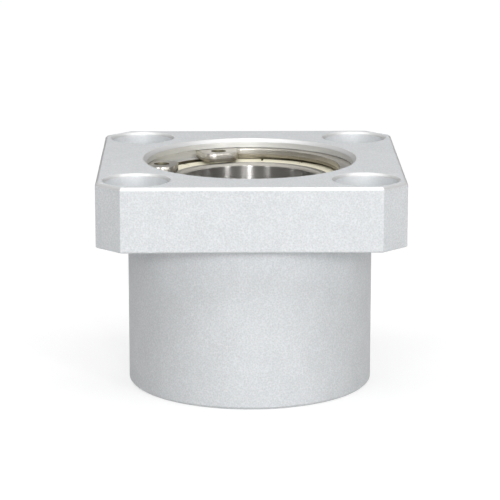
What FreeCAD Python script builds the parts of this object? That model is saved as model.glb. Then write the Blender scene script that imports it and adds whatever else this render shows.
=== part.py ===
import FreeCAD, Part
import math
import os

# Square flange bearing unit. One milled and turned aluminium housing holds a shielded
# ball bearing at each end. Each bearing stands on a shoulder inside the housing and is
# kept in by an internal circlip with two eyed ears.
# Frame: +Z along the shaft axis, origin at the centre of the flange's mounting face.
# The flange lies above z = 0 and the pilot, which enters the machine's wall, below it.

# Driving dimensions, in millimetres and degrees.

# Bearing envelope
BEARING_BORE = 30.0
BEARING_SECTION = 6.0  # radial height, bore to outside
BEARING_WIDTH = 7.0

# Housing
PILOT_WALL = 4.0  # wall of the pilot over the bearing seat
PILOT_LENGTH = 33.3
PILOT_EDGE_CHAMFER = 0.5
FLANGE_OVERHANG = 5.5  # how far each side of the square stands out past the pilot
FLANGE_THICKNESS = 13.0
CORNER_CUT = 5.0  # leg of the 45 degree flat across each corner
TOP_EDGE_CHAMFER = 0.5
UNDER_EDGE_CHAMFER = 0.25
MOUTH_CHAMFER = 0.7
SHOULDER_HEIGHT = 2.0  # step that each bearing stands on
SEAT_CLEARANCE = 0.02  # radial, outer ring in its seat

# Screw holes in the flange
HOLE_EDGE_DISTANCE = 8.0  # hole axis to the two nearest sides
HOLE_DIAMETER = 6.6
COUNTERBORE_DIAMETER = 12.5
COUNTERBORE_DEPTH = 6.5
COUNTERBORE_CHAMFER = 0.5
HOLE_EXIT_CHAMFER = 0.3

# Circlip and its groove
CIRCLIP_LAND = 1.9  # bore mouth to groove
CIRCLIP_THICKNESS = 1.75
CIRCLIP_SIDE_CLEARANCE = 0.05  # each side, in the groove
CIRCLIP_SEAT_CLEARANCE = 0.05  # radial, at the groove's floor
GROOVE_DEPTH = 1.25
CIRCLIP_WIDTH_MIDDLE = 4.1  # radial width opposite the ears
CIRCLIP_WIDTH_ENDS = 2.0  # radial width that the taper would reach between the ears
EAR_ANGLE = 29.0  # each ear's hole to the middle of the gap
EAR_LENGTH = 6.85  # radial, in from the circlip's outer edge
EAR_WIDTH = 7.8
EAR_CORNER_RADIUS = 2.6
EAR_HOLE_DIAMETER = 3.1
EAR_HOLE_INSET = 3.7  # hole centre in from the circlip's outer edge
EAR_FILLET = 1.2  # ear to the circlip's inner edge
CIRCLIP_GAP_DIRECTION = 139.0  # about Z, from +X

# Rings and balls
BEARING_END_PLAY = 0.4  # bearing face to the near side of the circlip groove
BALL_SHARE = 7 / 12  # ball diameter for each unit of the section
BALL_COUNT = 18
BALL_CLEARANCE = 0.05  # radial, ball to the floor of each raceway
RACEWAY_CONFORMITY = 0.52  # raceway radius for each unit of ball diameter
LAND_GAP = 2.3  # radial room between the two rings' lands
OUTER_RING_CHAMFER = 0.4
INNER_RING_ROUND = 0.5  # radial reach of the rounded bore corner
INNER_RING_ROUND_LENGTH = 0.9  # the same corner, along the bore
SHIELD_STEP = 1.05  # depth of the outer ring's recess that takes a shield's rim
SHIELD_NOTCH_DEPTH = 0.2  # depth of the inner ring's step beside a shield's edge
SHIELD_NOTCH_LENGTH = 0.6

# Shields
SHIELD_THICKNESS = 0.3
SHIELD_SINK = 0.05  # shield's face below the rings' faces
SHIELD_RIM_LENGTH = 0.8
SHIELD_RIM_ROUND = 0.25
SHIELD_EDGE_GAP = 0.15  # running gap to the inner ring
SHIELD_SEAT_CLEARANCE = 0.02  # radial, rim in its recess
SHIELD_SLOT_COUNT = 14
SHIELD_SLOT_WIDTH = 0.5
SHIELD_SLOT_LENGTH = 1.9  # radial, in from the rim
SHIELD_SLOT_DIRECTION = 4.4  # about Z, from +X

# Ribbon cage and its rivets
CAGE_THICKNESS = 0.3
CAGE_WIDTH = 1.6
POCKET_CLEARANCE = 0.12
RIVET_DIAMETER = 0.6
RIVET_HOLE_CLEARANCE = 0.03  # radial
RIVET_HEAD_DIAMETER = 1.1
RIVET_HEAD_HEIGHT = 0.28
RIVET_CROWN_DIAMETER = 0.6  # flat top of a head

# How far a cutting tool runs past the face that it starts from.
OVERRUN = 1.0

# Sizes that follow from the driving dimensions.
bore_radius = BEARING_BORE / 2
outside_radius = bore_radius + BEARING_SECTION
half_width = BEARING_WIDTH / 2
pilot_radius = outside_radius + PILOT_WALL
flange_half_side = pilot_radius + FLANGE_OVERHANG
hole_offset = flange_half_side - HOLE_EDGE_DISTANCE

seat_radius = outside_radius + SEAT_CLEARANCE
shoulder_radius = outside_radius - SHOULDER_HEIGHT
groove_radius = outside_radius + GROOVE_DEPTH
groove_width = CIRCLIP_THICKNESS + 2 * CIRCLIP_SIDE_CLEARANCE
circlip_depth = CIRCLIP_LAND + groove_width / 2
bearing_face_depth = CIRCLIP_LAND + groove_width + BEARING_END_PLAY
bearing_depth = bearing_face_depth + half_width
shoulder_depth = bearing_face_depth + BEARING_WIDTH

ball_radius = BALL_SHARE * BEARING_SECTION / 2
pitch_radius = (bore_radius + outside_radius) / 2
raceway_radius = RACEWAY_CONFORMITY * 2 * ball_radius
inner_land_radius = pitch_radius - LAND_GAP / 2
outer_land_radius = pitch_radius + LAND_GAP / 2
recess_radius = outer_land_radius + SHIELD_STEP
recess_depth = SHIELD_SINK + SHIELD_RIM_LENGTH
notch_radius = inner_land_radius - SHIELD_NOTCH_DEPTH

ORIGIN = FreeCAD.Vector(0, 0, 0)
AXIS = FreeCAD.Vector(0, 0, 1)
SIDEWAYS = FreeCAD.Vector(1, 0, 0)


def on_section(point):
    """Place a (radius, height) pair on the XZ half plane."""
    radius, height = point
    return FreeCAD.Vector(radius, 0, height)


def turned(*path):
    """Turn a closed (radius, height) path about Z into a solid.

    A pair is a straight run to that point, and a pair of pairs is an arc through the
    first point to the second. The path closes with a straight run.
    """
    edges = []
    here = path[0]
    for step in path[1:] + path[:1]:
        if isinstance(step[0], tuple):
            through, there = step
            arc = Part.Arc(on_section(here), on_section(through), on_section(there))
            edges.append(arc.toShape())
        else:
            there = step
            edges.append(Part.makeLine(on_section(here), on_section(there)))
        here = there
    return Part.Face(Part.Wire(edges)).revolve(ORIGIN, AXIS, 360)


def tube(inner_radius, outer_radius, low, high):
    """Plain ring between two radii and two heights."""
    return turned((inner_radius, low), (outer_radius, low), (outer_radius, high), (inner_radius, high))


def turned_about_z(shape, angle):
    """Copy of a shape, turned about Z by an angle in degrees."""
    copy = shape.copy()
    copy.rotate(ORIGIN, AXIS, angle)
    return copy


def turned_over(shape):
    """Copy of a shape, turned half a turn about X so that it faces the other way."""
    copy = shape.copy()
    copy.rotate(ORIGIN, SIDEWAYS, 180)
    return copy


def moved(shape, x, y, z):
    """Copy of a shape, moved."""
    copy = shape.copy()
    copy.translate(FreeCAD.Vector(x, y, z))
    return copy


def round_the_ring(shape, count, first_angle):
    """Evenly spaced copies of a shape about Z."""
    return [turned_about_z(shape, first_angle + 360.0 * index / count) for index in range(count)]


def flange_plate():
    """Square plate with its corners cut flat and its rims chamfered."""
    side = flange_half_side
    flat = side - CORNER_CUT
    corners = [(flat, -side), (side, -flat), (side, flat), (flat, side),
               (-flat, side), (-side, flat), (-side, -flat), (-flat, -side)]
    outline = Part.makePolygon([FreeCAD.Vector(x, y, 0) for x, y in corners + corners[:1]])
    plate = Part.Face(outline).extrude(AXIS * FLANGE_THICKNESS)
    for height, chamfer in ((FLANGE_THICKNESS, TOP_EDGE_CHAMFER), (0.0, UNDER_EDGE_CHAMFER)):
        rim = [edge for edge in plate.Edges
               if all(abs(vertex.Z - height) < chamfer / 2 for vertex in edge.Vertexes)]
        plate = plate.makeChamfer(chamfer, rim)
    return plate


def pilot():
    """Solid spigot below the flange, with its leading edge chamfered."""
    return turned((0, -PILOT_LENGTH),
                  (pilot_radius - PILOT_EDGE_CHAMFER, -PILOT_LENGTH),
                  (pilot_radius, PILOT_EDGE_CHAMFER - PILOT_LENGTH),
                  (pilot_radius, FLANGE_THICKNESS / 2),
                  (0, FLANGE_THICKNESS / 2))


def bore_tool():
    """Everything turned out of the housing: mouths, grooves, seats and the middle bore."""
    groove_end = CIRCLIP_LAND + groove_width
    half = [(seat_radius + MOUTH_CHAMFER + OVERRUN, -OVERRUN),
            (seat_radius, MOUTH_CHAMFER),
            (seat_radius, CIRCLIP_LAND),
            (groove_radius, CIRCLIP_LAND),
            (groove_radius, groove_end),
            (seat_radius, groove_end),
            (seat_radius, shoulder_depth),
            (shoulder_radius, shoulder_depth)]
    upper = [(radius, FLANGE_THICKNESS - depth) for radius, depth in half]
    lower = [(radius, depth - PILOT_LENGTH) for radius, depth in reversed(half)]
    top = (0, FLANGE_THICKNESS + OVERRUN)
    bottom = (0, -PILOT_LENGTH - OVERRUN)
    return turned(top, *upper, *lower, bottom)


def screw_hole_tool():
    """Through hole with a counterbore for a cap screw, chamfered at both mouths."""
    hole = HOLE_DIAMETER / 2
    counterbore = COUNTERBORE_DIAMETER / 2
    floor = FLANGE_THICKNESS - COUNTERBORE_DEPTH
    return turned((0, -OVERRUN),
                  (hole + HOLE_EXIT_CHAMFER + OVERRUN, -OVERRUN),
                  (hole, HOLE_EXIT_CHAMFER),
                  (hole, floor),
                  (counterbore, floor),
                  (counterbore, FLANGE_THICKNESS - COUNTERBORE_CHAMFER),
                  (counterbore + COUNTERBORE_CHAMFER + OVERRUN, FLANGE_THICKNESS + OVERRUN),
                  (0, FLANGE_THICKNESS + OVERRUN))


def housing():
    """The one-piece housing: flange, pilot, bore and screw holes."""
    holes = [moved(screw_hole_tool(), x, y, 0)
             for x in (-hole_offset, hole_offset) for y in (-hole_offset, hole_offset)]
    body = flange_plate().fuse(pilot()).removeSplitter()
    return body.cut([bore_tool()] + holes)


def circlip():
    """Internal circlip, tapered towards two eyed ears, about its own middle plane."""
    outer = groove_radius - CIRCLIP_SEAT_CLEARANCE
    taper = (CIRCLIP_WIDTH_MIDDLE - CIRCLIP_WIDTH_ENDS) / 2
    inner = outer - (CIRCLIP_WIDTH_MIDDLE + CIRCLIP_WIDTH_ENDS) / 2
    thickness = CIRCLIP_THICKNESS
    blank = Part.makeCylinder(outer, thickness)
    ring = blank.cut(moved(Part.makeCylinder(inner, thickness), taper, 0, 0))
    wedge = Part.makeCylinder(outer + OVERRUN, thickness, ORIGIN, AXIS, 2 * EAR_ANGLE)
    ring = ring.cut(turned_about_z(wedge, -EAR_ANGLE))
    ear = moved(circlip_ear(), outer, 0, 0)
    eye = moved(Part.makeCylinder(EAR_HOLE_DIAMETER / 2, thickness), outer - EAR_HOLE_INSET, 0, 0)
    ears = [turned_about_z(ear, angle) for angle in (-EAR_ANGLE, EAR_ANGLE)]
    eyes = [turned_about_z(eye, angle) for angle in (-EAR_ANGLE, EAR_ANGLE)]
    ring = ring.fuse(ears).common(blank).removeSplitter()
    ring = ring.makeFillet(EAR_FILLET, ear_roots(ring, inner, taper)).cut(eyes)
    return turned_about_z(moved(ring, 0, 0, -thickness / 2), CIRCLIP_GAP_DIRECTION)


def circlip_ear():
    """One ear of the circlip, which points along -X from the circlip's outer edge."""
    ear = Part.makeBox(EAR_LENGTH + OVERRUN, EAR_WIDTH, CIRCLIP_THICKNESS)
    corners = [edge for edge in ear.Edges
               if edge.BoundBox.ZLength > CIRCLIP_THICKNESS / 2 and edge.BoundBox.XMax < EAR_LENGTH / 2]
    return moved(ear.makeFillet(EAR_CORNER_RADIUS, corners), -EAR_LENGTH, -EAR_WIDTH / 2, 0)


def ear_roots(ring, inner, taper):
    """Upright edges where the ears meet the circlip's tapered inner edge."""
    roots = []
    for edge in ring.Edges:
        ends = edge.Vertexes
        upright = len(ends) == 2 and abs(ends[0].Z - ends[1].Z) > CIRCLIP_THICKNESS / 2
        if not upright:
            continue
        from_centre = math.hypot(ends[0].X - taper, ends[0].Y)
        beyond_ear = math.degrees(math.atan2(abs(ends[0].Y), ends[0].X)) > EAR_ANGLE
        if beyond_ear and abs(from_centre - inner) < CIRCLIP_SEAT_CLEARANCE:
            roots.append(edge)
    return roots


def outer_ring():
    """Outer ring, with a raceway and a stepped recess for a shield at each face."""
    floor = pitch_radius + ball_radius + BALL_CLEARANCE
    centre = floor - raceway_radius
    groove_half = math.sqrt(raceway_radius ** 2 - (outer_land_radius - centre) ** 2)
    shelf = half_width - recess_depth
    chamfer = OUTER_RING_CHAMFER
    return turned((outside_radius, half_width - chamfer),
                  (outside_radius, chamfer - half_width),
                  (outside_radius - chamfer, -half_width),
                  (recess_radius, -half_width),
                  (recess_radius, -shelf),
                  (outer_land_radius, -shelf),
                  (outer_land_radius, -groove_half),
                  ((floor, 0), (outer_land_radius, groove_half)),
                  (outer_land_radius, shelf),
                  (recess_radius, shelf),
                  (recess_radius, half_width),
                  (outside_radius - chamfer, half_width))


def inner_ring():
    """Inner ring, with a raceway, rounded bore corners and a step beside each shield."""
    floor = pitch_radius - ball_radius - BALL_CLEARANCE
    centre = floor + raceway_radius
    groove_half = math.sqrt(raceway_radius ** 2 - (centre - inner_land_radius) ** 2)
    step = half_width - SHIELD_NOTCH_LENGTH
    corner = half_width - INNER_RING_ROUND_LENGTH
    bend = 1 - math.sqrt(0.5)
    bend_radius = bore_radius + INNER_RING_ROUND * bend
    bend_height = half_width - INNER_RING_ROUND_LENGTH * bend
    face = bore_radius + INNER_RING_ROUND
    return turned((bore_radius, -corner),
                  ((bend_radius, -bend_height), (face, -half_width)),
                  (notch_radius, -half_width),
                  (notch_radius, -step),
                  (inner_land_radius, -step),
                  (inner_land_radius, -groove_half),
                  ((floor, 0), (inner_land_radius, groove_half)),
                  (inner_land_radius, step),
                  (notch_radius, step),
                  (notch_radius, half_width),
                  (face, half_width),
                  ((bend_radius, bend_height), (bore_radius, corner)))


def shield():
    """Pressed shield for the +Z face, with a turned-down rim that is slotted all round."""
    face = half_width - SHIELD_SINK
    back = face - SHIELD_THICKNESS
    rim = recess_radius - SHIELD_SEAT_CLEARANCE
    rim_inside = rim - SHIELD_THICKNESS
    rim_end = face - SHIELD_RIM_LENGTH
    bend = SHIELD_RIM_ROUND * (1 - math.sqrt(0.5))
    plate = turned((notch_radius + SHIELD_EDGE_GAP, face),
                   (rim - SHIELD_RIM_ROUND, face),
                   ((rim - bend, face - bend), (rim, face - SHIELD_RIM_ROUND)),
                   (rim, rim_end),
                   (rim_inside, rim_end),
                   (rim_inside, back),
                   (notch_radius + SHIELD_EDGE_GAP, back))
    slot = Part.makeBox(SHIELD_SLOT_LENGTH + OVERRUN, SHIELD_SLOT_WIDTH, BEARING_WIDTH)
    slot = moved(slot, rim - SHIELD_SLOT_LENGTH, -SHIELD_SLOT_WIDTH / 2, 0)
    return plate.cut(round_the_ring(slot, SHIELD_SLOT_COUNT, SHIELD_SLOT_DIRECTION))


def cage_half():
    """Pressed ribbon for the +Z side: flat at the rivets and domed over each ball."""
    inside = pitch_radius - CAGE_WIDTH / 2
    outside = pitch_radius + CAGE_WIDTH / 2
    pocket = ball_radius + POCKET_CLEARANCE
    dome = pocket + CAGE_THICKNESS
    ribbon = tube(inside, outside, 0, CAGE_THICKNESS)
    room = tube(inside, outside, 0, dome)
    domes = round_the_ring(moved(Part.makeSphere(dome), pitch_radius, 0, 0), BALL_COUNT, 0)
    pockets = round_the_ring(moved(Part.makeSphere(pocket), pitch_radius, 0, 0), BALL_COUNT, 0)
    hole = Part.makeCylinder(RIVET_DIAMETER / 2 + RIVET_HOLE_CLEARANCE, CAGE_THICKNESS)
    holes = round_the_ring(moved(hole, pitch_radius, 0, 0), BALL_COUNT, 180.0 / BALL_COUNT)
    ribbon = ribbon.fuse([room.common(cap) for cap in domes]).removeSplitter()
    return ribbon.cut(pockets + holes)


def rivets():
    """One rivet between each two balls, with a button head on each side of the cage."""
    shank = RIVET_DIAMETER / 2
    head = RIVET_HEAD_DIAMETER / 2
    crown = RIVET_CROWN_DIAMETER / 2
    tip = CAGE_THICKNESS + RIVET_HEAD_HEIGHT
    rivet = turned((0, -tip),
                   (crown, -tip),
                   (head, -CAGE_THICKNESS),
                   (shank, -CAGE_THICKNESS),
                   (shank, CAGE_THICKNESS),
                   (head, CAGE_THICKNESS),
                   (crown, tip),
                   (0, tip))
    placed = moved(rivet, pitch_radius, 0, 0)
    return Part.makeCompound(round_the_ring(placed, BALL_COUNT, 180.0 / BALL_COUNT))


def balls():
    """The ball set, evenly spaced on the pitch circle."""
    return round_the_ring(moved(Part.makeSphere(ball_radius), pitch_radius, 0, 0), BALL_COUNT, 0)


def bearing():
    """All pieces of one bearing by name, about its middle plane, outer side towards +Z."""
    half = cage_half()
    pieces = {"outer_ring": outer_ring(),
              "inner_ring": inner_ring(),
              "outer_shield": shield(),
              "inner_shield": turned_over(shield()),
              "cage_outer_half": half,
              "cage_inner_half": turned_over(half),
              "cage_rivets": rivets()}
    for number, ball in enumerate(balls(), start=1):
        pieces[f"ball_{number:02d}"] = ball
    return pieces


def at_upper_end(shape, depth):
    """Set a shape that faces +Z at a depth below the flange's outer face."""
    return moved(shape, 0, 0, FLANGE_THICKNESS - depth)


def at_lower_end(shape, depth):
    """Set a shape that faces +Z, turned over, at a depth inside the pilot's end."""
    return moved(turned_over(shape), 0, 0, depth - PILOT_LENGTH)


def assembly():
    """Every node of the unit by name."""
    nodes = {"housing": housing()}
    ring = circlip()
    pieces = bearing()
    for end, seat in (("upper", at_upper_end), ("lower", at_lower_end)):
        nodes[f"{end}_circlip"] = seat(ring, circlip_depth)
        for name, piece in pieces.items():
            nodes[f"{end}_{name}"] = seat(piece, bearing_depth)
    return nodes


os.makedirs("parts", exist_ok=True)
for node, shape in assembly().items():
    shape.exportStep(f"parts/{node}.step")
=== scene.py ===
import logging
import math
from dataclasses import dataclass
from enum import Enum
from typing import Dict, List, Mapping, Optional, Sequence, Tuple, Union

import bmesh
import bpy
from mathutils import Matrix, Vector


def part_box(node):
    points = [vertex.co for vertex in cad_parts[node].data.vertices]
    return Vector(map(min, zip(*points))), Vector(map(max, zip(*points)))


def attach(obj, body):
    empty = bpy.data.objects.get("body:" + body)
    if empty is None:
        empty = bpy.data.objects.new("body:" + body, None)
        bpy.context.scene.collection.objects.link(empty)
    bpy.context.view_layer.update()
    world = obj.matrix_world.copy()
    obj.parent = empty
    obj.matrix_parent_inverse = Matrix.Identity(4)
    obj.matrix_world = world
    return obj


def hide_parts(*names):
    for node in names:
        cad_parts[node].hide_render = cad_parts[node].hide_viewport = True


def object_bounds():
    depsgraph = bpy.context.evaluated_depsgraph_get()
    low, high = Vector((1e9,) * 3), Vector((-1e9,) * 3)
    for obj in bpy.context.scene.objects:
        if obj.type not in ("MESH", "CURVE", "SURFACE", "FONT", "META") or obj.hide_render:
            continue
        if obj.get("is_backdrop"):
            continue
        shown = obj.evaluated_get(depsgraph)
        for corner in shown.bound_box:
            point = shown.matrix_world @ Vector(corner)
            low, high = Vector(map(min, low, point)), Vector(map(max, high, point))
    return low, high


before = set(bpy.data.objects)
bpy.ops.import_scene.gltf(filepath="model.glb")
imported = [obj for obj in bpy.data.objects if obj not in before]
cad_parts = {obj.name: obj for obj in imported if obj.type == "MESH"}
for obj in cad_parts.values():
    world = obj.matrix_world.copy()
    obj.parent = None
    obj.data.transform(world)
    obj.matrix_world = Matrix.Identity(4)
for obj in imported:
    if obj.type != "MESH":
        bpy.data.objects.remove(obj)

LOG = logging.getLogger("bearing_unit")
MM = 0.001  # the frame is in metres, and the sizes below are in millimetres
IMAGE_SIDE = 500.0  # pixels, the photograph's frame
WHITE = (1.0, 1.0, 1.0, 1.0)
WELD_REACH = 0.001  # millimetres: vertices that lie closer than this become one
FLAT_ANGLE = 0.3  # degrees: faces that meet at less than this become one
SMOOTH_ANGLE = 35.0  # degrees: edges that turn by less than this are shaded smooth
QUARTER_TURN = 0.25  # of a full turn, from along the tool marks to across them

Setting = Union[str, int, float, bool, Tuple[float, ...]]
Key = Union[str, int]
Point = Tuple[float, float]
Span = Tuple[float, float]


class End(Enum):
    """The two ends of the unit that hold a bearing."""

    UPPER = "upper"
    LOWER = "lower"


class Slot(Enum):
    """The record's material slots."""

    HOUSING = "housing_aluminium"
    CIRCLIP = "circlip_steel"
    RING = "ring_steel"
    SHIELD = "shield_steel"
    CAGE = "cage_steel"
    BALL = "ball_steel"


def linear(code: str) -> Tuple[float, float, float, float]:
    """Turn an sRGB hex colour into linear RGBA.

    Args:
        code: A hash sign and six hex digits.

    Returns:
        Linear red, green and blue, and an alpha of 1.
    """
    values = [int(code[place:place + 2], 16) / 255 for place in (1, 3, 5)]
    red, green, blue = [v / 12.92 if v <= 0.04045 else ((v + 0.055) / 1.055) ** 2.4 for v in values]
    return red, green, blue, 1.0


def per_metre(size_mm: float) -> float:
    """Pattern scale that gives features of a real size in millimetres."""
    return 1.0 / (size_mm * MM)


def add_node(tree: bpy.types.NodeTree, kind: str, settings: Mapping[Key, Setting],
             links: Optional[Mapping[Key, bpy.types.NodeSocket]] = None) -> bpy.types.Node:
    """Add a node, set its properties and sockets, and link its inputs.

    Args:
        tree: Node tree that gets the node.
        kind: Blender's name for the node type.
        settings: Values by property name, or by input name or number.
        links: Output sockets by the input that each one feeds.

    Returns:
        The new node.
    """
    node = tree.nodes.new(kind)
    for key, value in settings.items():
        if isinstance(key, str) and key in node.bl_rna.properties:
            setattr(node, key, value)
        else:
            node.inputs[key].default_value = value
    for key, source in (links or {}).items():
        tree.links.new(source, node.inputs[key])
    return node


@dataclass(frozen=True)
class Finish:
    """A metal surface: its colours, its gloss and the grain that its making leaves."""

    name: str
    low: str  # colour in the hollows of the grain
    high: str  # colour on its crests
    roughness: float
    roughness_spread: float
    grain_mm: float
    relief_mm: float
    anisotropy: float = 0.0
    metallic: float = 1.0

    def grain(self, tree: bpy.types.NodeTree) -> bpy.types.NodeSocket:
        """Draw the grain.

        Args:
            tree: The material's node tree.

        Returns:
            A socket that varies from 0 to 1 over the surface.
        """
        place = add_node(tree, "ShaderNodeTexCoord", {}).outputs["Object"]
        noise = add_node(tree, "ShaderNodeTexNoise",
                         {"Scale": per_metre(self.grain_mm), "Detail": 2.0, "Roughness": 0.55},
                         {"Vector": place})
        return noise.outputs["Fac"]

    def material(self) -> bpy.types.Material:
        """Build the node material.

        Returns:
            The material, with its colour, gloss and relief driven by the grain.
        """
        made = bpy.data.materials.new(self.name)
        made.use_nodes = True
        tree = made.node_tree
        shader = tree.nodes["Principled BSDF"]
        shader.inputs["Metallic"].default_value = self.metallic
        shader.inputs["Anisotropic"].default_value = self.anisotropy
        grain = self.grain(tree)
        colour = add_node(tree, "ShaderNodeMix",
                          {"data_type": "RGBA", 6: linear(self.low), 7: linear(self.high)}, {0: grain})
        gloss = add_node(tree, "ShaderNodeMapRange",
                         {"To Min": self.roughness + self.roughness_spread,
                          "To Max": self.roughness - self.roughness_spread}, {"Value": grain})
        relief = add_node(tree, "ShaderNodeBump", {"Distance": self.relief_mm * MM}, {"Height": grain})
        tree.links.new(colour.outputs[2], shader.inputs["Base Color"])
        tree.links.new(gloss.outputs["Result"], shader.inputs["Roughness"])
        tree.links.new(relief.outputs["Normal"], shader.inputs["Normal"])
        if self.anisotropy:  # marks run round the axis, so highlights stretch across them
            around = add_node(tree, "ShaderNodeTangent", {"direction_type": "RADIAL", "axis": "Z"})
            tree.links.new(around.outputs["Tangent"], shader.inputs["Tangent"])
            shader.inputs["Anisotropic Rotation"].default_value = QUARTER_TURN
        return made


@dataclass(frozen=True)
class BlastedFinish(Finish):
    """A surface peened by glass beads: shallow craters that overlap."""

    mottle_mm: float = 6.0
    speckle_size: float = 0.7  # of a crater's size
    speckle_share: float = 0.55  # of the fine grain, with the craters as the rest
    mottle_share: float = 0.2  # of the whole grain

    def grain(self, tree: bpy.types.NodeTree) -> bpy.types.NodeSocket:
        """Draw overlapping craters over a faint broad mottle.

        Args:
            tree: The material's node tree.

        Returns:
            A socket that varies from about 0 to 1 over the surface.
        """
        place = add_node(tree, "ShaderNodeTexCoord", {}).outputs["Object"]
        craters = add_node(tree, "ShaderNodeTexVoronoi", {"feature": "F1", "Scale": per_metre(self.grain_mm)},
                           {"Vector": place})
        speckle = add_node(tree, "ShaderNodeTexNoise",
                           {"Scale": per_metre(self.grain_mm * self.speckle_size), "Detail": 3.0},
                           {"Vector": place})
        mottle = add_node(tree, "ShaderNodeTexNoise", {"Scale": per_metre(self.mottle_mm), "Detail": 2.0},
                          {"Vector": place})
        fine = add_node(tree, "ShaderNodeMix", {"data_type": "FLOAT", 0: self.speckle_share},
                        {2: craters.outputs["Distance"], 3: speckle.outputs["Fac"]})
        return add_node(tree, "ShaderNodeMix", {"data_type": "FLOAT", 0: self.mottle_share},
                        {2: fine.outputs[0], 3: mottle.outputs["Fac"]}).outputs[0]


@dataclass(frozen=True)
class TurnedFinish(Finish):
    """A surface cut round the shaft axis: fine rings of tool marks."""

    def grain(self, tree: bpy.types.NodeTree) -> bpy.types.NodeSocket:
        """Draw rings that change with radius and height only.

        Args:
            tree: The material's node tree.

        Returns:
            A socket that varies from about 0 to 1 over the surface.
        """
        place = add_node(tree, "ShaderNodeTexCoord", {}).outputs["Object"]
        split = add_node(tree, "ShaderNodeSeparateXYZ", {}, {"Vector": place})
        flat = add_node(tree, "ShaderNodeCombineXYZ", {}, {"X": split.outputs["X"], "Y": split.outputs["Y"]})
        radius = add_node(tree, "ShaderNodeVectorMath", {"operation": "LENGTH"}, {0: flat.outputs["Vector"]})
        section = add_node(tree, "ShaderNodeCombineXYZ", {},
                           {"X": radius.outputs["Value"], "Y": split.outputs["Z"]})
        rings = add_node(tree, "ShaderNodeTexNoise",
                         {"noise_dimensions": "2D", "Scale": per_metre(self.grain_mm), "Detail": 3.0},
                         {"Vector": section.outputs["Vector"]})
        return rings.outputs["Fac"]


# Clear-anodised aluminium, bead-blasted: a pale, slightly blue grey that scatters light
# widely and sparkles faintly. The craters are about 0.15 mm across and are drawn at
# 0.35 mm, because finer ones don't show at five pixels to the millimetre.
BLASTED_ALUMINIUM = BlastedFinish("bead_blasted_anodised_aluminium", "#aeb1b3", "#e8eaec",
                                  roughness=0.62, roughness_spread=0.08, grain_mm=0.35, relief_mm=0.03,
                                  metallic=0.15)
# Aluminium as turned and anodised, in the bore: a warmer grey, with fine rings that draw
# the light out along the axis.
TURNED_ALUMINIUM = TurnedFinish("turned_anodised_aluminium", "#d4d4d0", "#e3e3df",
                                roughness=0.45, roughness_spread=0.06, grain_mm=0.25, relief_mm=0.004,
                                anisotropy=0.4, metallic=0.5)
# Turned aluminium on the bearing seats, painted a brownish grey as painted shade where the seats show under
# the circlips.
SHADED_SEAT_ALUMINIUM = TurnedFinish("turned_aluminium_painted_shade", "#8a8470", "#a29c88",
                               roughness=0.36, roughness_spread=0.05, grain_mm=0.25, relief_mm=0.002,
                               anisotropy=0.7)
# Aluminium as milled and anodised, in the screw holes: pale and plain.
MILLED_ALUMINIUM = Finish("milled_anodised_aluminium", "#d6d8da", "#e8eaeb",
                          roughness=0.5, roughness_spread=0.06, grain_mm=0.4, relief_mm=0.006,
                          metallic=0.35)
# Aluminium cut after blasting, on the upper and inner chamfers: bright and fairly glossy, partly as painted
# highlight, since outside it goes only on chamfers that face up.
CUT_AND_LIT_ALUMINIUM = TurnedFinish("cut_anodised_aluminium_painted_highlight", "#d0d0d0", "#e0e0e0",
                             roughness=0.45, roughness_spread=0.05, grain_mm=0.3, relief_mm=0.002,
                             metallic=0.5)
# Spring steel strip, blanked and oiled: a brownish grey with a soft shine.
SPRING_STEEL = Finish("blanked_spring_steel", "#c2beb6", "#d6d2ca",
                      roughness=0.34, roughness_spread=0.05, grain_mm=0.5, relief_mm=0.004)
# The same steel where it tore ahead of the punch, low on the blanked edge: rougher, and darker partly as
# painted shade under the circlip.
TORN_AND_SHADED_STEEL = Finish("torn_spring_steel_painted_shade", "#8c867a", "#a8a296",
                         roughness=0.48, roughness_spread=0.08, grain_mm=0.25, relief_mm=0.012)
# The same steel inside the ears' eyes, painted dark and dull as painted shade in the holes.
EYE_SHADE_STEEL = Finish("spring_steel_painted_eye_shade", "#6c6856", "#868270",
                       roughness=0.6, roughness_spread=0.08, grain_mm=0.3, relief_mm=0.01)
# Bearing steel, ground flat on the rings' faces: a warm grey with a satin sheen.
GROUND_STEEL = TurnedFinish("ground_bearing_steel", "#aaa7a0", "#bdbbb5",
                            roughness=0.4, roughness_spread=0.04, grain_mm=0.2, relief_mm=0.001,
                            anisotropy=0.8)
# The same steel as turned, on the rounded corners of the bore: a dull warm grey.
TURNED_STEEL = TurnedFinish("turned_bearing_steel", "#a3a098", "#b7b4ac",
                            roughness=0.5, roughness_spread=0.05, grain_mm=0.2, relief_mm=0.002,
                            metallic=0.3)
# The same steel on the rings' remaining faces, chiefly the outer ring's face under the circlip: painted a
# dark straw colour as painted shade.
SHADED_RING_STEEL = TurnedFinish("bearing_steel_painted_shade", "#5a5542", "#726c58",
                            roughness=0.45, roughness_spread=0.05, grain_mm=0.2, relief_mm=0.001)
# The same steel honed round the bore: fine rings that draw highlights out into streaks.
HONED_STEEL = TurnedFinish("honed_bearing_steel", "#a8a6a4", "#bcbab8",
                           roughness=0.28, roughness_spread=0.02, grain_mm=0.2, relief_mm=0.0005,
                           anisotropy=0.97)
# Pressed sheet with a pale straw passivation.
STRAW_SHEET = Finish("straw_passivated_sheet_steel", "#fbf4da", "#fffce8",
                     roughness=0.42, roughness_spread=0.06, grain_mm=0.4, relief_mm=0.003, anisotropy=0.7,
                     metallic=0.3)
# Pressed ribbon steel of the cages.
CAGE_RIBBON = Finish("pressed_ribbon_steel", "#aaa499", "#bfb9ae",
                     roughness=0.36, roughness_spread=0.06, grain_mm=0.4, relief_mm=0.004)
# Lapped ball steel: close to a mirror.
LAPPED_STEEL = Finish("lapped_ball_steel", "#c9c9c9", "#d8d8d8",
                      roughness=0.08, roughness_spread=0.03, grain_mm=0.3, relief_mm=0.0005)


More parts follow.
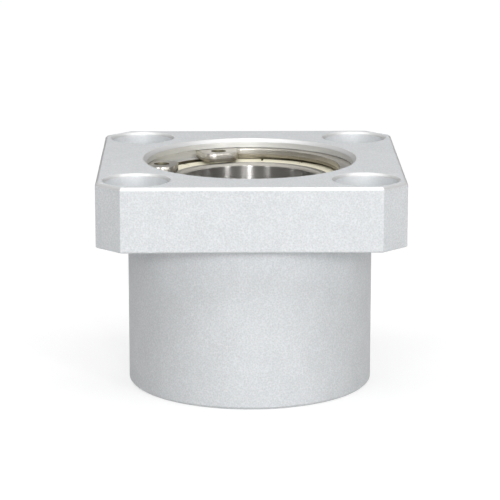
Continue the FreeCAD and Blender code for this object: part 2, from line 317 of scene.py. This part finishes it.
class Finishes:
    """Materials made once for each finish and shared by the pieces."""

    def __init__(self) -> None:
        """Start with none made."""
        self._made: Dict[str, bpy.types.Material] = {}

    def of(self, finish: Finish) -> bpy.types.Material:
        """Look up a finish's material, made at its first use.

        Args:
            finish: The finish.

        Returns:
            Its material.
        """
        if finish.name not in self._made:
            self._made[finish.name] = finish.material()
        return self._made[finish.name]


def dress_node(name: str, material: bpy.types.Material) -> None:
    """Give a CAD node's slots a material.

    Args:
        name: The CAD node.
        material: The material for all its slots.
    """
    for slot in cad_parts[name].material_slots:
        slot.material = material
    LOG.info("dressed %s", name)


def softened(name: str, edge_round: float, sharp_angle: float = 25.0) -> bmesh.types.BMesh:
    """Copy a CAD node's mesh and round its sharp edges.

    Args:
        name: The CAD node.
        edge_round: Reach of the rounding in millimetres.
        sharp_angle: Edges that turn by more than this, in degrees, are rounded.

    Returns:
        The rounded copy.
    """
    shape = bmesh.new()
    shape.from_mesh(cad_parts[name].data)
    bmesh.ops.remove_doubles(shape, verts=shape.verts, dist=WELD_REACH * MM)
    bmesh.ops.dissolve_limit(shape, angle_limit=math.radians(FLAT_ANGLE),
                             verts=shape.verts, edges=shape.edges)
    edges = [edge for edge in shape.edges if edge.calc_face_angle(0.0) > math.radians(sharp_angle)]
    bmesh.ops.bevel(shape, geom=edges, offset=edge_round * MM, offset_type="OFFSET", segments=2,
                    profile=0.5, affect="EDGES", material=-1, clamp_overlap=True)
    return shape


def off_axis(vertex: bmesh.types.BMVert, x: float, y: float) -> float:
    """Distance in millimetres from a vertex to the upright line through (x, y)."""
    return math.hypot(vertex.co.x / MM - x, vertex.co.y / MM - y)


def finished(name: str, shape: bmesh.types.BMesh, materials: Sequence[bpy.types.Material],
             body: str, node: str) -> bpy.types.Object:
    """Turn a bmesh into a piece that stands for a CAD node.

    Args:
        name: The piece's name.
        shape: Its mesh, which is freed.
        materials: Its materials, by the faces' material numbers.
        body: The CAD body that it rides on.
        node: The CAD node that it replaces.

    Returns:
        The piece.
    """
    for face in shape.faces:
        face.smooth = True
    for edge in shape.edges:
        edge.smooth = edge.calc_face_angle(0.0) < math.radians(SMOOTH_ANGLE)
    mesh = bpy.data.meshes.new(name)
    shape.to_mesh(mesh)
    shape.free()
    if "custom_normal" in mesh.attributes:
        mesh.attributes.remove(mesh.attributes["custom_normal"])
    for material in materials:
        mesh.materials.append(material)
    piece = bpy.data.objects.new(name, mesh)
    bpy.context.scene.collection.objects.link(piece)
    even = piece.modifiers.new("even_shading", "WEIGHTED_NORMAL")
    even.keep_sharp = True
    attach(piece, body)
    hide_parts(node)
    LOG.info("built %s for %s", name, node)
    return piece


@dataclass
class Housing:
    """The one-piece housing: blasted outside, turned inside, bright at its chamfers partly by painted
    highlight, and with painted shade on its bearing seats.
    """

    finishes: Finishes
    hole_offset: float = 22.5
    bore_reach: float = 22.4  # every face of the bore lies within this radius
    hole_reach: float = 6.9  # every face of a screw hole lies this close to its axis
    hole_foot: float = -0.1  # every face of a screw hole lies above this height
    chamfer_slope: Span = (0.15, 0.97)  # limits of the upright part of a chamfer's normal
    seat_ends: Span = (-29.5, 9.2)  # heights between which the bore holds the bearings
    seat_start: float = 20.9  # every face of the seats lies beyond this radius
    edge_round: float = 0.1

    def finish_of(self, face: bmesh.types.BMFace) -> Finish:
        """Tell how a face was cut, or what painted shade or highlight it gets.

        Args:
            face: A face of the housing.

        Returns:
            The finish that the cut leaves.
        """
        radii = [off_axis(v, 0.0, 0.0) for v in face.verts]
        in_bore = max(radii) < self.bore_reach
        above_foot = all(v.co.z > self.hole_foot * MM for v in face.verts)
        in_hole = above_foot and any(all(off_axis(v, x, y) < self.hole_reach for v in face.verts)
                                     for x in (-self.hole_offset, self.hole_offset)
                                     for y in (-self.hole_offset, self.hole_offset))
        least, most = self.chamfer_slope
        # Outside the bore and the holes only chamfers that face up get the bright finish, a painted
        # highlight; those that face down stay blasted and darker.
        if least < abs(face.normal.z) < most and (in_bore or in_hole or face.normal.z > 0):
            return CUT_AND_LIT_ALUMINIUM
        if in_bore:
            low, high = self.seat_ends
            # Faces of the bearing seats get painted shade: a darker brownish grey than the rest of the bore.
            on_seat = min(radii) > self.seat_start and all(low < v.co.z / MM < high for v in face.verts)
            return SHADED_SEAT_ALUMINIUM if on_seat else TURNED_ALUMINIUM
        if in_hole:
            return MILLED_ALUMINIUM
        return BLASTED_ALUMINIUM

    def build(self) -> bpy.types.Object:
        """Round the housing's edges and sort its faces by how they were cut, with painted shade on the seats
        and painted highlight on the upper chamfers.

        Returns:
            The housing.
        """
        shape = softened("housing", self.edge_round)
        finish_list = [BLASTED_ALUMINIUM, TURNED_ALUMINIUM, SHADED_SEAT_ALUMINIUM, MILLED_ALUMINIUM, CUT_AND_LIT_ALUMINIUM]
        for face in shape.faces:
            face.material_index = finish_list.index(self.finish_of(face))
        return finished("housing_block", shape, [self.finishes.of(cut) for cut in finish_list],
                        "housing", "housing")


@dataclass
class Circlip:
    """One internal circlip, with the rounded edges that blanking leaves, painted shade in its eyes, and a
    darker torn band low on its edge that is partly painted shade.
    """

    finishes: Finishes
    end: End
    edge_round: float = 0.2
    gap_direction: float = 139.0  # degrees about Z, on the upper circlip
    ear_angle: float = 29.0
    eye_circle: float = 18.5
    eye_reach: float = 1.8  # every face of an eye's wall lies this close to its axis
    burnished: float = 0.62  # share of the thickness that the punch cut before the rest tore
    flat: float = 0.9  # least upright part of a flat face's normal

    def eyes(self) -> List[Point]:
        """Find the ears' eyes.

        Returns:
            Places of the two eyes' axes.
        """
        side = 1.0 if self.end is End.UPPER else -1.0
        angles = [math.radians(self.gap_direction + step) for step in (-self.ear_angle, self.ear_angle)]
        return [(self.eye_circle * math.cos(a), side * self.eye_circle * math.sin(a)) for a in angles]

    def build(self) -> bpy.types.Object:
        """Round the circlip's edges and sort its faces by how they were cut or torn, with painted shade in
        the eyes and low on the blanked edge.

        Returns:
            The circlip.
        """
        node = f"{self.end.value}_circlip"
        shape = softened(node, self.edge_round)
        low, high = (corner.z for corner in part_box(node))
        out, back = (high, low) if self.end is End.UPPER else (low, high)
        tear_and_shade_line = out + (back - out) * self.burnished
        bmesh.ops.bisect_plane(shape, geom=[*shape.verts, *shape.edges, *shape.faces],
                               plane_co=(0.0, 0.0, tear_and_shade_line), plane_no=(0.0, 0.0, 1.0))
        finish_list = [SPRING_STEEL, TORN_AND_SHADED_STEEL, EYE_SHADE_STEEL]
        for face in shape.faces:
            near = [all(off_axis(v, x, y) < self.eye_reach for v in face.verts) for x, y in self.eyes()]
            # The band below this line is partly painted shade.
            torn_and_shaded = (face.calc_center_median().z - tear_and_shade_line) * (back - out) > 0
            if abs(face.normal.z) > self.flat:
                cut = SPRING_STEEL
            # The eyes' walls get painted shade.
            elif any(near):
                cut = EYE_SHADE_STEEL
            else:
                cut = TORN_AND_SHADED_STEEL if torn_and_shaded else SPRING_STEEL
            face.material_index = finish_list.index(cut)
        return finished(f"{node}_blanked", shape, [self.finishes.of(cut) for cut in finish_list],
                        "housing", node)


@dataclass
class BallBearing:
    """One shielded ball bearing."""

    finishes: Finishes
    end: End
    balls: int = 18
    ring_edge_round: float = 0.06
    shield_edge_round: float = 0.06
    bore_reach: float = 15.02  # every face of the bore's straight run lies within this radius
    corner_reach: float = 15.55  # every face of the bore's rounded corners lies within this radius
    ground_reach: float = 16.62  # every face that is ground on the inner ring lies within this radius
    seat_start: float = 20.95  # every face of the outer ring's ground outside lies beyond this radius

    def finish_of(self, face: bmesh.types.BMFace) -> Finish:
        """Tell how a ring's face was cut, or whether it gets painted shade.

        Args:
            face: A face of the inner or the outer ring.

        Returns:
            The finish that the cut leaves.
        """
        radii = [off_axis(v, 0.0, 0.0) for v in face.verts]
        if max(radii) < self.bore_reach:
            return HONED_STEEL
        if max(radii) < self.corner_reach:
            return TURNED_STEEL
        if min(radii) < self.ground_reach or min(radii) > self.seat_start:
            return GROUND_STEEL
        # The rest, chiefly the outer ring's face, gets painted shade.
        return SHADED_RING_STEEL

    def ring(self, part: str, body: str) -> bpy.types.Object:
        """Break a ring's edges and sort its faces by how they were cut, with painted shade on the faces left
        over.

        Args:
            part: The ring's name in the bearing.
            body: The CAD body that it rides on.

        Returns:
            The ring.
        """
        node = f"{self.end.value}_{part}"
        shape = softened(node, self.ring_edge_round)
        finish_list = [GROUND_STEEL, HONED_STEEL, TURNED_STEEL, SHADED_RING_STEEL]
        for face in shape.faces:
            face.material_index = finish_list.index(self.finish_of(face))
        return finished(f"{node}_ground", shape, [self.finishes.of(cut) for cut in finish_list],
                        body, node)

    def shield(self, part: str) -> bpy.types.Object:
        """Roll over the edges of a pressed shield."""
        node = f"{self.end.value}_{part}"
        return finished(f"{node}_pressed", softened(node, self.shield_edge_round),
                        [self.finishes.of(STRAW_SHEET)], "housing", node)

    def build(self) -> None:
        """Build the rings and shields, and dress the cage and the balls."""
        end = self.end.value
        self.ring("outer_ring", "housing")
        self.ring("inner_ring", f"{end}_inner_ring")
        self.shield("outer_shield")
        self.shield("inner_shield")
        for part in ("cage_outer_half", "cage_inner_half", "cage_rivets"):
            dress_node(f"{end}_{part}", self.finishes.of(CAGE_RIBBON))
        for number in range(1, self.balls + 1):
            dress_node(f"{end}_ball_{number:02d}", self.finishes.of(LAPPED_STEEL))


def outward(turn: float, rise: float) -> Vector:
    """Direction from the unit to a lamp or the camera.

    Args:
        turn: Degrees about Z: 0 in front, 90 on the right.
        rise: Degrees above the horizon.

    Returns:
        A vector of length 1.
    """
    around, above = math.radians(turn), math.radians(rise)
    return Vector((math.sin(around) * math.cos(above), -math.cos(around) * math.cos(above), math.sin(above)))


def stand(name: str, data: Union[bpy.types.Light, bpy.types.Camera], place: Vector,
          back: Vector) -> bpy.types.Object:
    """Put a lamp or the camera in the scene.

    Args:
        name: The object's name.
        data: What the object holds.
        place: Where it stands, in metres.
        back: Direction out of its back, opposite to the one that it faces.

    Returns:
        The object.
    """
    made = bpy.data.objects.new(name, data)
    made.location = place
    made.rotation_mode = "QUATERNION"
    made.rotation_quaternion = (-back).to_track_quat("-Z", "Y")
    bpy.context.scene.collection.objects.link(made)
    return made


@dataclass(frozen=True)
class Lamp:
    """A soft area lamp that faces the unit."""

    name: str
    turn: float  # degrees about Z: 0 in front, 90 on the right
    rise: float  # degrees above the horizon
    wide: float
    tall: float
    watts: float
    far: float = 900.0

    def hang(self) -> None:
        """Put the lamp in the scene."""
        data = bpy.data.lights.new(self.name, "AREA")
        data.shape = "RECTANGLE"
        data.size, data.size_y = self.wide * MM, self.tall * MM
        data.energy = self.watts
        away = outward(self.turn, self.rise)
        stand(self.name, data, away * self.far * MM, away)


# The narrow lamps in front draw the streaks in the bores and shade the pilot, the wide ones
# light the flange, and the one below the floor lights the lower end.
LAMPS = (
    Lamp("key", turn=-0.5, rise=17.0, wide=50.0, tall=150.0, watts=2.1),
    Lamp("key_low", turn=-0.5, rise=7.0, wide=50.0, tall=100.0, watts=0.6),
    Lamp("key_side", turn=9.0, rise=20.0, wide=50.0, tall=150.0, watts=0.65),
    Lamp("right_strip", turn=36.0, rise=22.0, wide=70.0, tall=300.0, watts=0.6),
    Lamp("right_low", turn=36.0, rise=9.0, wide=70.0, tall=200.0, watts=1.2),
    Lamp("right_edge", turn=73.0, rise=20.0, wide=15.0, tall=300.0, watts=0.4),
    Lamp("left_strip", turn=-30.0, rise=22.0, wide=70.0, tall=200.0, watts=0.5),
    Lamp("left_low", turn=-30.0, rise=8.0, wide=70.0, tall=150.0, watts=0.35),
    Lamp("left_edge", turn=-75.0, rise=20.0, wide=15.0, tall=300.0, watts=0.3),
    Lamp("top_front", turn=0.0, rise=74.0, wide=1400.0, tall=700.0, watts=7.7),
    Lamp("overhead", turn=180.0, rise=66.0, wide=1800.0, tall=900.0, watts=1.6),
    Lamp("back", turn=180.0, rise=38.0, wide=1200.0, tall=500.0, watts=1.3),
    Lamp("under", turn=180.0, rise=-50.0, wide=900.0, tall=600.0, watts=4.0),
)
ROOM_LEVEL = 0.04
FLOOR_GREY = 0.45
FLOOR_ROUGHNESS = 0.9
FLOOR_LIFT = 0.57  # glow that brings the floor up to white where it is seen
FLOOR_RISE = 0.25  # more lift for each metre from the unit, where the lamps reach less


@dataclass
class Studio:
    """Floor, lamps, room and camera, in millimetres and degrees."""

    lens_px: float = 2541.617
    distance: float = 524.422
    elevation: float = 13.479
    azimuth: float = -0.794
    aim_height: float = -10.0
    aim_px: Point = (249.81, 267.0)
    sensor: float = 36.0
    clip: Span = (10.0, 10000.0)
    floor_radius: float = 3000.0
    floor_sides: int = 96
    floor_gap: float = 0.02  # keeps the floor off the unit's lower face

    def camera(self) -> None:
        """Place the camera where the photograph was taken from."""
        data = bpy.data.cameras.new("camera")
        data.sensor_width = self.sensor
        data.lens = self.lens_px / IMAGE_SIDE * self.sensor
        data.shift_x = (IMAGE_SIDE / 2 - self.aim_px[0]) / IMAGE_SIDE
        data.shift_y = (self.aim_px[1] - IMAGE_SIDE / 2) / IMAGE_SIDE
        data.clip_start, data.clip_end = (end * MM for end in self.clip)
        back = outward(self.azimuth, self.elevation)
        aim = Vector((0.0, 0.0, self.aim_height * MM))
        bpy.context.scene.camera = stand("camera", data, aim + back * self.distance * MM, back)

    def room(self) -> None:
        """Give the room a dim even grey."""
        world = bpy.data.worlds.new("room")
        bpy.context.scene.world = world
        world.use_nodes = True
        back = world.node_tree.nodes["Background"]
        back.inputs["Color"].default_value = WHITE
        back.inputs["Strength"].default_value = ROOM_LEVEL

    def paper(self) -> bpy.types.Material:
        """Build the floor's plain pale paper.

        Returns:
            A material that shows white, keeps the unit's shadow and is clear from below.
        """
        made = bpy.data.materials.new("white_paper")
        made.use_nodes = True
        tree = made.node_tree
        shader = tree.nodes["Principled BSDF"]
        shader.inputs["Base Color"].default_value = (FLOOR_GREY, FLOOR_GREY, FLOOR_GREY, 1.0)
        shader.inputs["Roughness"].default_value = FLOOR_ROUGHNESS
        shader.inputs["Emission Color"].default_value = WHITE
        path = add_node(tree, "ShaderNodeLightPath", {})
        seen = path.outputs["Is Camera Ray"]
        for ray in ("Is Glossy Ray", "Is Transmission Ray"):
            seen = add_node(tree, "ShaderNodeMath", {"operation": "MAXIMUM"},
                            {0: seen, 1: path.outputs[ray]}).outputs["Value"]
        place = add_node(tree, "ShaderNodeTexCoord", {}).outputs["Object"]
        reach = add_node(tree, "ShaderNodeVectorMath", {"operation": "LENGTH"}, {0: place}).outputs["Value"]
        level = add_node(tree, "ShaderNodeMath",
                         {"operation": "MULTIPLY_ADD", "use_clamp": True, 1: FLOOR_RISE, 2: FLOOR_LIFT},
                         {0: reach})
        lift = add_node(tree, "ShaderNodeMath", {"operation": "MULTIPLY"},
                        {0: seen, 1: level.outputs["Value"]})
        tree.links.new(lift.outputs["Value"], shader.inputs["Emission Strength"])
        below = add_node(tree, "ShaderNodeNewGeometry", {}).outputs["Backfacing"]
        through = add_node(tree, "ShaderNodeMath", {"operation": "MAXIMUM"},
                           {0: below, 1: path.outputs["Is Shadow Ray"]})
        clear = add_node(tree, "ShaderNodeBsdfTransparent", {})
        sides = add_node(tree, "ShaderNodeMixShader", {},
                         {0: through.outputs["Value"], 1: shader.outputs["BSDF"], 2: clear.outputs["BSDF"]})
        tree.links.new(sides.outputs["Shader"], tree.nodes["Material Output"].inputs["Surface"])
        return made

    def floor(self) -> None:
        """Lay the floor just under the unit."""
        shape = bmesh.new()
        bmesh.ops.create_circle(shape, cap_ends=True, segments=self.floor_sides,
                                radius=self.floor_radius * MM)
        bmesh.ops.translate(shape, verts=shape.verts, vec=(0, 0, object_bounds()[0].z - self.floor_gap * MM))
        mesh = bpy.data.meshes.new("floor")
        shape.to_mesh(mesh)
        shape.free()
        mesh.materials.append(self.paper())
        made = bpy.data.objects.new("floor", mesh)
        bpy.context.scene.collection.objects.link(made)
        made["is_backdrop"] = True

    def set_up(self) -> None:
        """Lay the floor, light the room and place the camera."""
        self.floor()
        self.room()
        for lamp in LAMPS:
            lamp.hang()
        self.camera()
        bpy.context.scene.view_settings.view_transform = "Standard"


def main() -> None:
    """Build and dress the unit and set up the studio."""
    logging.basicConfig(level=logging.INFO, format="%(name)s: %(message)s")
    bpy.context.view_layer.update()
    finishes = Finishes()
    Housing(finishes).build()
    for end in End:
        Circlip(finishes, end).build()
        BallBearing(finishes, end).build()
    Studio().set_up()


if __name__ == "__main__":
    main()
